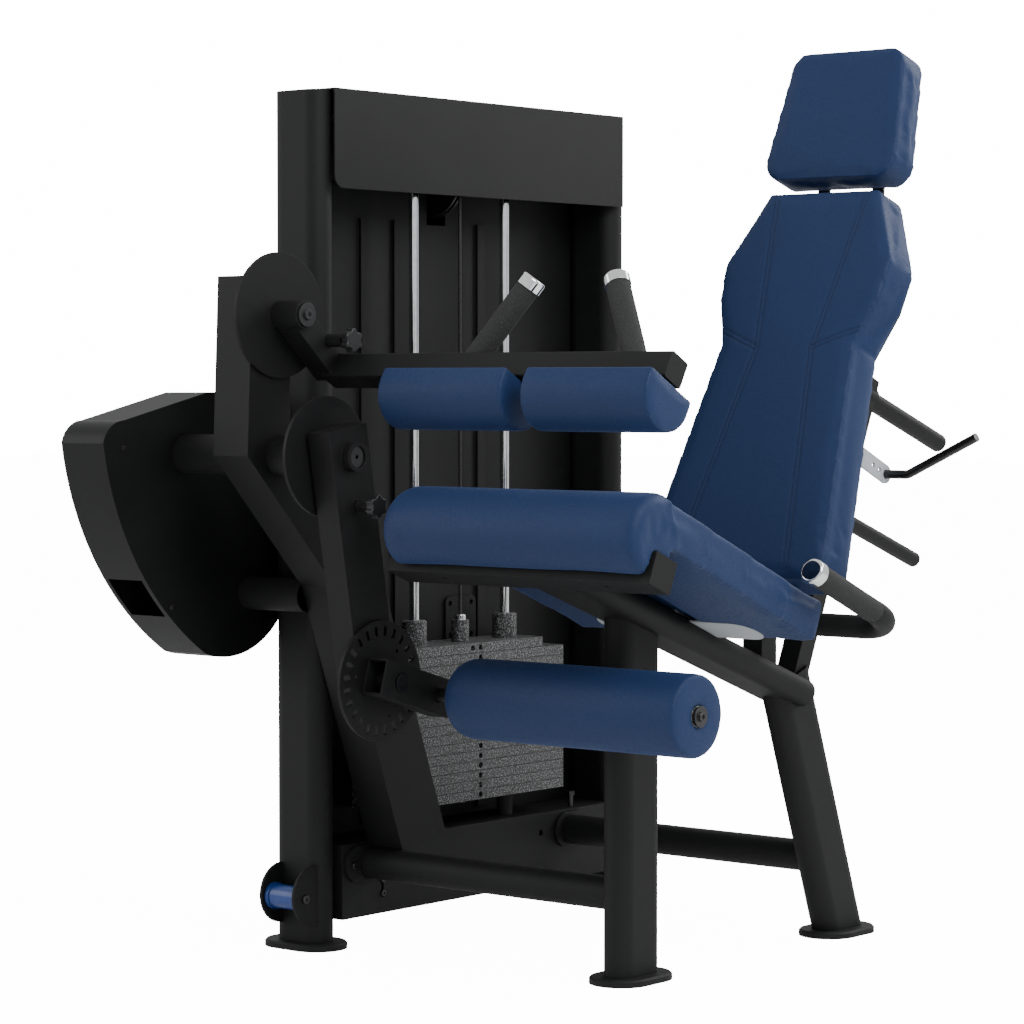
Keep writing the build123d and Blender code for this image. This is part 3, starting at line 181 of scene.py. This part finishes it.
def vinyl(name, colour, light):
    """Upholstery vinyl: pebbled grain, faint tonal clouds and a soft sheen."""
    material, tree, shader = new_material(name)
    clouds = remap(tree, noise(tree, 6.0, 3.0), 0.3, 0.7, 0.0, 1.0)
    tone = mix(tree, clouds, tuple(c * 0.88 for c in colour), colour)
    pebbles = cells(tree, 620.0)
    tone = mix(tree, remap(tree, pebbles, 0.25, 0.75, 0.0, 0.55), tone, light)
    link(tree, tone, shader.inputs["Base Color"])
    link(tree, remap(tree, noise(tree, 300.0), 0.3, 0.7, 0.5, 0.66), shader.inputs["Roughness"])
    shader.inputs["Sheen Weight"].default_value = 0.1
    shader.inputs["Sheen Roughness"].default_value = 0.45
    shader.inputs["Sheen Tint"].default_value = (0.25, 0.42, 0.9, 1.0)
    shader.inputs["Specular IOR Level"].default_value = 0.25
    grain = bump(tree, pebbles, 0.28, 0.5 * MM)
    link(tree, bump(tree, noise(tree, 90.0, 2.0), 0.08, 1.5 * MM, grain), shader.inputs["Normal"])
    return material


def moulded(name, colour, roughness):
    material, tree, shader = new_material(name)
    broad = remap(tree, noise(tree, 30.0, 3.0), 0.3, 0.7, 0.0, 1.0)
    link(tree, mix(tree, broad, tuple(c * 0.8 for c in colour), colour), shader.inputs["Base Color"])
    fine = noise(tree, 500.0, 2.0)
    shine = remap(tree, fine, 0.3, 0.7, roughness * 0.85, roughness * 1.15)
    link(tree, shine, shader.inputs["Roughness"])
    link(tree, bump(tree, fine, 0.1, 0.4 * MM, rounded(tree, 1.0 * MM)), shader.inputs["Normal"])
    return material


coat = powder_coat("textured_black_coat", (0.0062, 0.0066, 0.0066), worn=(0.022, 0.023, 0.023),
                   roughness=0.6, specular=0.25)
sheet_coat = powder_coat("smooth_black_sheet", (0.0056, 0.0058, 0.006), worn=(0.02, 0.021, 0.021),
                         roughness=0.52, specular=0.22, grain=900.0, depth=0.06)
casing_coat = powder_coat("satin_black_casing", (0.0045, 0.0048, 0.005), worn=(0.016, 0.017, 0.017),
                          roughness=0.45, specular=0.2, grain=900.0, depth=0.05)
chrome = metal("polished_chrome", (0.82, 0.83, 0.84), roughness=0.07)
zinc = metal("bright_zinc", (0.55, 0.55, 0.54), roughness=0.3)
dark_steel = metal("blackened_steel", (0.07, 0.07, 0.072), roughness=0.38)
bronze = metal("sintered_bronze", (0.5, 0.33, 0.16), roughness=0.45)
plates = speckled("speckled_weight_plate", (0.013, 0.0135, 0.014), fleck=(0.21, 0.215, 0.22),
                  roughness=0.5, scale=330.0, amount=0.52)
grip_foam = speckled("grip_foam", (0.013, 0.0135, 0.0135), fleck=(0.045, 0.046, 0.047),
                     roughness=0.85, scale=700.0, amount=0.56, depth=0.5)
grey_plate = powder_coat("light_grey_plate", (0.42, 0.45, 0.47), worn=(0.6, 0.62, 0.64),
                         roughness=0.4, specular=0.4)
knob_black = moulded("moulded_black_plastic", (0.009, 0.0095, 0.01), roughness=0.38)
shell_black = moulded("moulded_back_shell", (0.007, 0.007, 0.0075), roughness=0.5)
spool_blue = moulded("moulded_blue_plastic", (0.012, 0.045, 0.21), roughness=0.3)
cable_black = moulded("cable_cover", (0.012, 0.012, 0.012), roughness=0.3)
blue_vinyl = vinyl("blue_vinyl", (0.0062, 0.020, 0.070), light=(0.0090, 0.026, 0.088))
thread = moulded("blue_thread", (0.004, 0.010, 0.030), roughness=0.7)

finishes = {node: coat for node in nodes}
for material, names in (
    (sheet_coat, ("back_panel", "top_hood", "rear_shroud", "goose_neck", "movement_arm",
                  "slotted_disc", "start_disc", "thigh_disc", "backrest_bars")),
    (casing_coat, ("casing_sides", "casing_rim")),
    (chrome, ("guide_rods", "side_grip_caps", "thigh_grip_caps")),
    (zinc, ("roller_sleeve", "cam_wheel")),
    (dark_steel, ("frame_bolts", "thigh_pivot", "roller_pivot", "roller_axle", "release_lever",
                  "drive_shaft")),
    (bronze, ("shaft_bearings",)),
    (plates, ("lower_plates", "lifted_plates", "top_plate", "selector_stem")),
    (grip_foam, ("side_grips", "thigh_grips", "stack_bumpers")),
    (grey_plate, ("seat_brackets",)),
    (knob_black, ("arm_pull_pin", "thigh_pull_pin", "selector_pin", "idler_pulley", "turn_pulley",
                  "top_pulley")),
    (shell_black, ("backrest_board",)),
    (spool_blue, ("transport_roller",)),
    (cable_black, ("drive_cable",)),
):
    for name in names:
        finishes[name] = material
for name, material in finishes.items():
    mesh = nodes[name].data
    mesh.materials.clear()
    mesh.materials.append(material)

# The cap on the selector stem is bright
stem = nodes["selector_stem"]
CAP_HEIGHT = 9.5 * MM
cap_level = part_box("selector_stem")[1].z - CAP_HEIGHT
stem.data.materials.append(chrome)
for face in stem.data.polygons:
    if (stem.matrix_world @ face.center).z > cap_level:
        face.material_index = 1


# ---- Upholstery ------------------------------------------------------------------------------------


def evaluated_mesh(obj):
    graph = bpy.context.evaluated_depsgraph_get()
    return bpy.data.meshes.new_from_object(obj.evaluated_get(graph))


def bake(obj):
    """Replace the object's mesh with its modified shape."""
    mesh = evaluated_mesh(obj)
    obj.modifiers.clear()
    old = obj.data
    obj.data = mesh
    bpy.data.meshes.remove(old)


def add_object(name, mesh):
    obj = bpy.data.objects.new(name, mesh)
    bpy.context.scene.collection.objects.link(obj)
    return obj


def smooth(obj, steps):
    modifier = obj.modifiers.new("smooth", "SMOOTH")
    modifier.iterations = steps
    modifier.factor = 0.5
    bake(obj)


def places(mesh):
    values = np.empty(len(mesh.vertices) * 3, np.float32)
    mesh.vertices.foreach_get("co", values)
    return values.reshape(-1, 3).astype(float)


def vertex_normals(mesh):
    values = np.empty(len(mesh.vertices) * 3, np.float32)
    mesh.vertex_normals.foreach_get("vector", values)
    return values.reshape(-1, 3).astype(float)


def put(mesh, values):
    mesh.vertices.foreach_set("co", values.astype(np.float32).ravel())
    mesh.update()


RESTING_FACING = 0.85
INFLATION_FRAMES = 20
AIR_PRESSURE = 4.0
COVER_STIFFNESS = 15.0
SETTLING_STEPS = 4


def stuffed(node, name, inset, cap, voxel, soften, held=None):
    """A foam pad from its CAD solid: remeshed, drawn in by inset, inflated as cloth, and smoothed.

    No point moves further than cap when it is inflated. held is the direction in which the pad rests
    on its board, so that face stays where it is."""
    pad = add_object(name, nodes[node].data.copy())
    remesh = pad.modifiers.new("remesh", "REMESH")
    remesh.mode = "VOXEL"
    remesh.voxel_size = voxel
    bake(pad)
    smooth(pad, soften)
    mesh = pad.data
    start, normals = places(mesh), vertex_normals(mesh)
    resting = np.zeros(len(start), bool) if held is None else normals @ np.array(held) > RESTING_FACING
    start[~resting] -= normals[~resting] * inset
    put(mesh, start)
    if held is not None:
        pinned = pad.vertex_groups.new(name="held")
        pinned.add([int(i) for i in np.flatnonzero(resting)], 1.0, "REPLACE")
    cloth = pad.modifiers.new("cloth", "CLOTH")
    settings = cloth.settings
    settings.quality = 5
    settings.use_pressure = True
    settings.uniform_pressure_force = AIR_PRESSURE
    settings.effector_weights.gravity = 0.0
    settings.tension_stiffness = COVER_STIFFNESS
    settings.compression_stiffness = COVER_STIFFNESS
    if held is not None:
        settings.vertex_group_mass = "held"
    cloth.collision_settings.use_collision = False
    scene = bpy.context.scene
    for step in range(1, INFLATION_FRAMES + 1):
        scene.frame_set(step)
    bake(pad)
    scene.frame_set(1)
    move = places(pad.data) - start
    reach = np.maximum(np.linalg.norm(move, axis=1, keepdims=True), 1e-9)
    put(pad.data, start + move * np.minimum(1.0, cap / reach))
    pad.vertex_groups.clear()
    smooth(pad, SETTLING_STEPS)
    subdivide = pad.modifiers.new("subdivision", "SUBSURF")
    subdivide.levels = subdivide.render_levels = 1
    bake(pad)
    pad.data.shade_smooth()
    pad.data.materials.clear()
    pad.data.materials.append(blue_vinyl)
    return pad


SAMPLE_SPACING = 2.0 * MM
CAST_FROM = 0.3


def surface_line(pad, points, towards):
    """Project a polyline on to the pad along a direction; returns (point, normal) samples."""
    tree = BVHTree.FromObject(pad, bpy.context.evaluated_depsgraph_get())
    samples = []
    for start, end in zip(points, points[1:]):
        steps = max(2, int((end - start).length / SAMPLE_SPACING))
        for k in range(steps):
            origin = start.lerp(end, k / steps) - towards * CAST_FROM
            place, normal, _, _ = tree.ray_cast(origin, towards)
            if place is not None:
                samples.append((place, normal))
    return samples


def carve(pad, samples, width, depth):
    """Draw the cover in along seam samples."""
    lookup = KDTree(len(samples))
    for index, (place, _) in enumerate(samples):
        lookup.insert(place, index)
    lookup.balance()
    points = places(pad.data)
    for spot, point in enumerate(points):
        _, index, distance = lookup.find(point)
        if distance < 3 * width:
            points[spot] -= np.array(samples[index][1]) * depth * math.exp(-((distance / width) ** 2))
    put(pad.data, points)


STITCH_PITCH = 6.0 * MM
STITCH_LENGTH = 4.2 * MM
THREAD_RADIUS = 0.55 * MM
THREAD_SIDES = 6
# Places along a stitch, in stitch lengths, each with its share of the thread's radius
THREAD_PROFILE = ((-0.5, 0.35), (-0.3, 1.0), (0.3, 1.0), (0.5, 0.35))
THREAD_RISE, THREAD_DIP = 0.35, 0.8
LONGEST_STEP = 8 * MM


def stitches(name, pad, body, samples, offset):
    """A row of thread beside a seam, with each stitch's ends sunk in the cover."""
    tree = BVHTree.FromObject(pad, bpy.context.evaluated_depsgraph_get())
    mesh = bmesh.new()
    walked = 0.0
    for (here, normal), (ahead, _) in zip(samples, samples[1:]):
        run = ahead - here
        if run.length > LONGEST_STEP or run.length < 1e-6:
            walked = 0.0
            continue
        walked += run.length
        if walked < STITCH_PITCH:
            continue
        walked = 0.0
        along = run.normalized()
        across = along.cross(normal).normalized()
        place, face_normal, _, _ = tree.find_nearest(here + across * offset)
        up = (face_normal - along * face_normal.dot(along)).normalized()
        side = along.cross(up)
        rings = []
        for t, r in THREAD_PROFILE:
            lift = THREAD_RADIUS * (THREAD_RISE - abs(t) * THREAD_DIP)
            centre = place + along * (t * STITCH_LENGTH) + up * lift
            ring = [mesh.verts.new(centre + (up * math.sin(a) + side * math.cos(a)) * THREAD_RADIUS * r)
                    for a in (math.tau * k / THREAD_SIDES for k in range(THREAD_SIDES))]
            rings.append(ring)
        for low, high in zip(rings, rings[1:]):
            for k in range(THREAD_SIDES):
                after = (k + 1) % THREAD_SIDES
                mesh.faces.new((low[k], low[after], high[after], high[k]))
        mesh.faces.new(list(reversed(rings[0])))
        mesh.faces.new(rings[-1])
    bmesh.ops.recalc_face_normals(mesh, faces=mesh.faces)
    data = bpy.data.meshes.new(name)
    mesh.to_mesh(data)
    mesh.free()
    data.shade_smooth()
    data.materials.append(thread)
    rows = add_object(name, data)
    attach(rows, body)


def finish_pad(pad, node, body):
    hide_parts(node)
    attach(pad, body)


# Backrest: two long twin-needle seams that narrow to the waist, and a short one out to each side
BACK_TILT = math.radians(23.5)
back_out = Vector((0, -math.cos(BACK_TILT), math.sin(BACK_TILT)))
back_up = Vector((0, math.sin(BACK_TILT), math.cos(BACK_TILT)))
backrest = stuffed("backrest_pad", "backrest_cover", inset=1.5 * MM, cap=4.0 * MM, voxel=5.0 * MM,
                   soften=3, held=-back_out)
back_low, back_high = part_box("backrest_pad")
back_middle = (back_low + back_high) / 2
half_width = (back_high.x - back_low.x) / 2
SEAM_REACH = 0.96
half_rise = (back_high.z - back_low.z) / 2 / back_up.z * SEAM_REACH
IN_FRONT = 0.2


def on_back(across, rise):
    """A point over the backrest's front: across and rise run from -1 at the left and foot to 1."""
    place = back_middle + Vector((across * half_width, 0, 0))
    return place + back_up * (rise * half_rise) + back_out * IN_FRONT


# Each seam's ends, as (across, rise) for on_back
SEAM_TOP, SEAM_WAIST, SEAM_FOOT = (0.50, 0.99), (0.30, 0.16), (0.60, -0.93)
BRANCH_END = (0.80, 0.27)
seam_paths = []
for side in (-1, 1):
    top, waist, foot, branch = (on_back(side * across, rise)
                                for across, rise in (SEAM_TOP, SEAM_WAIST, SEAM_FOOT, BRANCH_END))
    seam_paths.append([top, waist, foot])
    seam_paths.append([waist, branch])
TWIN_OFFSET = 4.0 * MM
GROOVE_WIDTH = 1.9 * MM
GROOVE_DEPTH = 1.5 * MM
seams = [surface_line(backrest, path, -back_out) for path in seam_paths]
for seam in seams:
    for offset in (-TWIN_OFFSET, TWIN_OFFSET):
        shifted = []
        for (here, normal), (ahead, _) in zip(seam, seam[1:]):
            across = (ahead - here).normalized().cross(normal)
            shifted.append((here + across * offset, normal))
        carve(backrest, shifted, GROOVE_WIDTH, GROOVE_DEPTH)
for index, seam in enumerate(seams):
    stitches(f"backrest_stitches_{index}_a", backrest, "backrest", seam, TWIN_OFFSET)
    stitches(f"backrest_stitches_{index}_b", backrest, "backrest", seam, -TWIN_OFFSET)
finish_pad(backrest, "backrest_pad", "backrest")

headrest = stuffed("headrest_pad", "headrest_cover", inset=2.0 * MM, cap=3.0 * MM, voxel=5.0 * MM, soften=4)
finish_pad(headrest, "headrest_pad", "backrest")

seat = stuffed("seat_cushion", "seat_cover", inset=1.5 * MM, cap=4.0 * MM, voxel=5.0 * MM, soften=3)
finish_pad(seat, "seat_cushion", "frame")

for side in ("left", "right"):
    pad = stuffed(f"thigh_pad_{side}", f"thigh_cover_{side}", inset=0.8 * MM, cap=2.0 * MM,
                  voxel=4.0 * MM, soften=2)
    finish_pad(pad, f"thigh_pad_{side}", "thigh_group")

roller = stuffed("ankle_roller", "roller_cover", inset=0.8 * MM, cap=1.5 * MM, voxel=5.0 * MM, soften=2)
finish_pad(roller, "ankle_roller", "ankle_roller")


# ---- Setting: floor, camera and lights -------------------------------------------------------------

# The backdrop and the floor look whiter to the camera than they light the machine
LIT_STRENGTH, SEEN_STRENGTH = 0.85, 16.0
FLOOR_SEEN_STRENGTH = 14.0
FLOOR_SIZE = 60.0
FLOOR_DROP = 0.5 * MM


def emission_world():
    """A white studio backdrop that lights the machine more softly than it looks."""
    world = bpy.data.worlds.new("studio")
    bpy.context.scene.world = world
    world.use_nodes = True
    tree = world.node_tree
    background = tree.nodes["Background"]
    coords = tree.nodes.new("ShaderNodeTexCoord")
    parts = tree.nodes.new("ShaderNodeSeparateXYZ")
    link(tree, coords.outputs["Generated"], parts.inputs["Vector"])
    level = remap(tree, parts.outputs["Z"], -0.2, 0.8, 0.0, 1.0)
    link(tree, mix(tree, level, (0.97, 0.98, 1.0), (1.0, 1.0, 1.0)), background.inputs["Color"])
    seen = tree.nodes.new("ShaderNodeLightPath").outputs["Is Camera Ray"]
    link(tree, remap(tree, seen, 0.0, 1.0, LIT_STRENGTH, SEEN_STRENGTH), background.inputs["Strength"])


def area_light(name, place, target, size, power):
    data = bpy.data.lights.new(name, "AREA")
    data.shape = "RECTANGLE"
    data.size, data.size_y = size
    data.energy = power
    light = bpy.data.objects.new(name, data)
    light.location = place
    light.rotation_euler = (target - place).to_track_quat("-Z", "Y").to_euler()
    bpy.context.scene.collection.objects.link(light)


emission_world()
floor_material, floor_tree, floor_shader = new_material("pale_floor")
floor_tone = remap(floor_tree, noise(floor_tree, 3.0), 0.3, 0.7, 0.0, 1.0)
link(floor_tree, mix(floor_tree, floor_tone, (0.86, 0.86, 0.86), (0.9, 0.9, 0.9)),
     floor_shader.inputs["Base Color"])
floor_shader.inputs["Roughness"].default_value = 0.6
floor_shader.inputs["Emission Color"].default_value = (1.0, 1.0, 1.0, 1.0)
floor_seen = floor_tree.nodes.new("ShaderNodeLightPath").outputs["Is Camera Ray"]
link(floor_tree, remap(floor_tree, floor_seen, 0.0, 1.0, 0.0, FLOOR_SEEN_STRENGTH),
     floor_shader.inputs["Emission Strength"])
bpy.ops.mesh.primitive_plane_add(size=FLOOR_SIZE, location=(0, 0, -FLOOR_DROP))
floor = bpy.context.object
floor.name = "floor"
floor.data.materials.append(floor_material)

leg = node_centre("front_leg")
datum = Vector((leg.x, leg.y, 0.0))
CAMERA_OFFSET = Vector((3.2585, -4.237, 0.990))
AZIMUTH = math.radians(39.67)
PITCH = math.radians(2.286)
SENSOR_WIDTH = 36.0
FOCAL_LENGTH = 114.1
camera_data = bpy.data.cameras.new("camera")
camera_data.sensor_width = SENSOR_WIDTH
camera_data.lens = FOCAL_LENGTH
camera = bpy.data.objects.new("camera", camera_data)
camera.location = datum + CAMERA_OFFSET
camera.rotation_euler = (math.pi / 2 - PITCH, 0.0, AZIMUTH)
bpy.context.scene.collection.objects.link(camera)
bpy.context.scene.camera = camera

middle = Vector((0.0, 0.0, 0.8))
area_light("key", Vector((3.2, -1.2, 3.4)), middle, size=(2.2, 2.2), power=125.0)
area_light("fill", Vector((-3.5, -3.0, 2.2)), middle, size=(2.5, 2.5), power=45.0)
area_light("back", Vector((1.5, 3.5, 3.0)), middle, size=(2.5, 2.0), power=80.0)
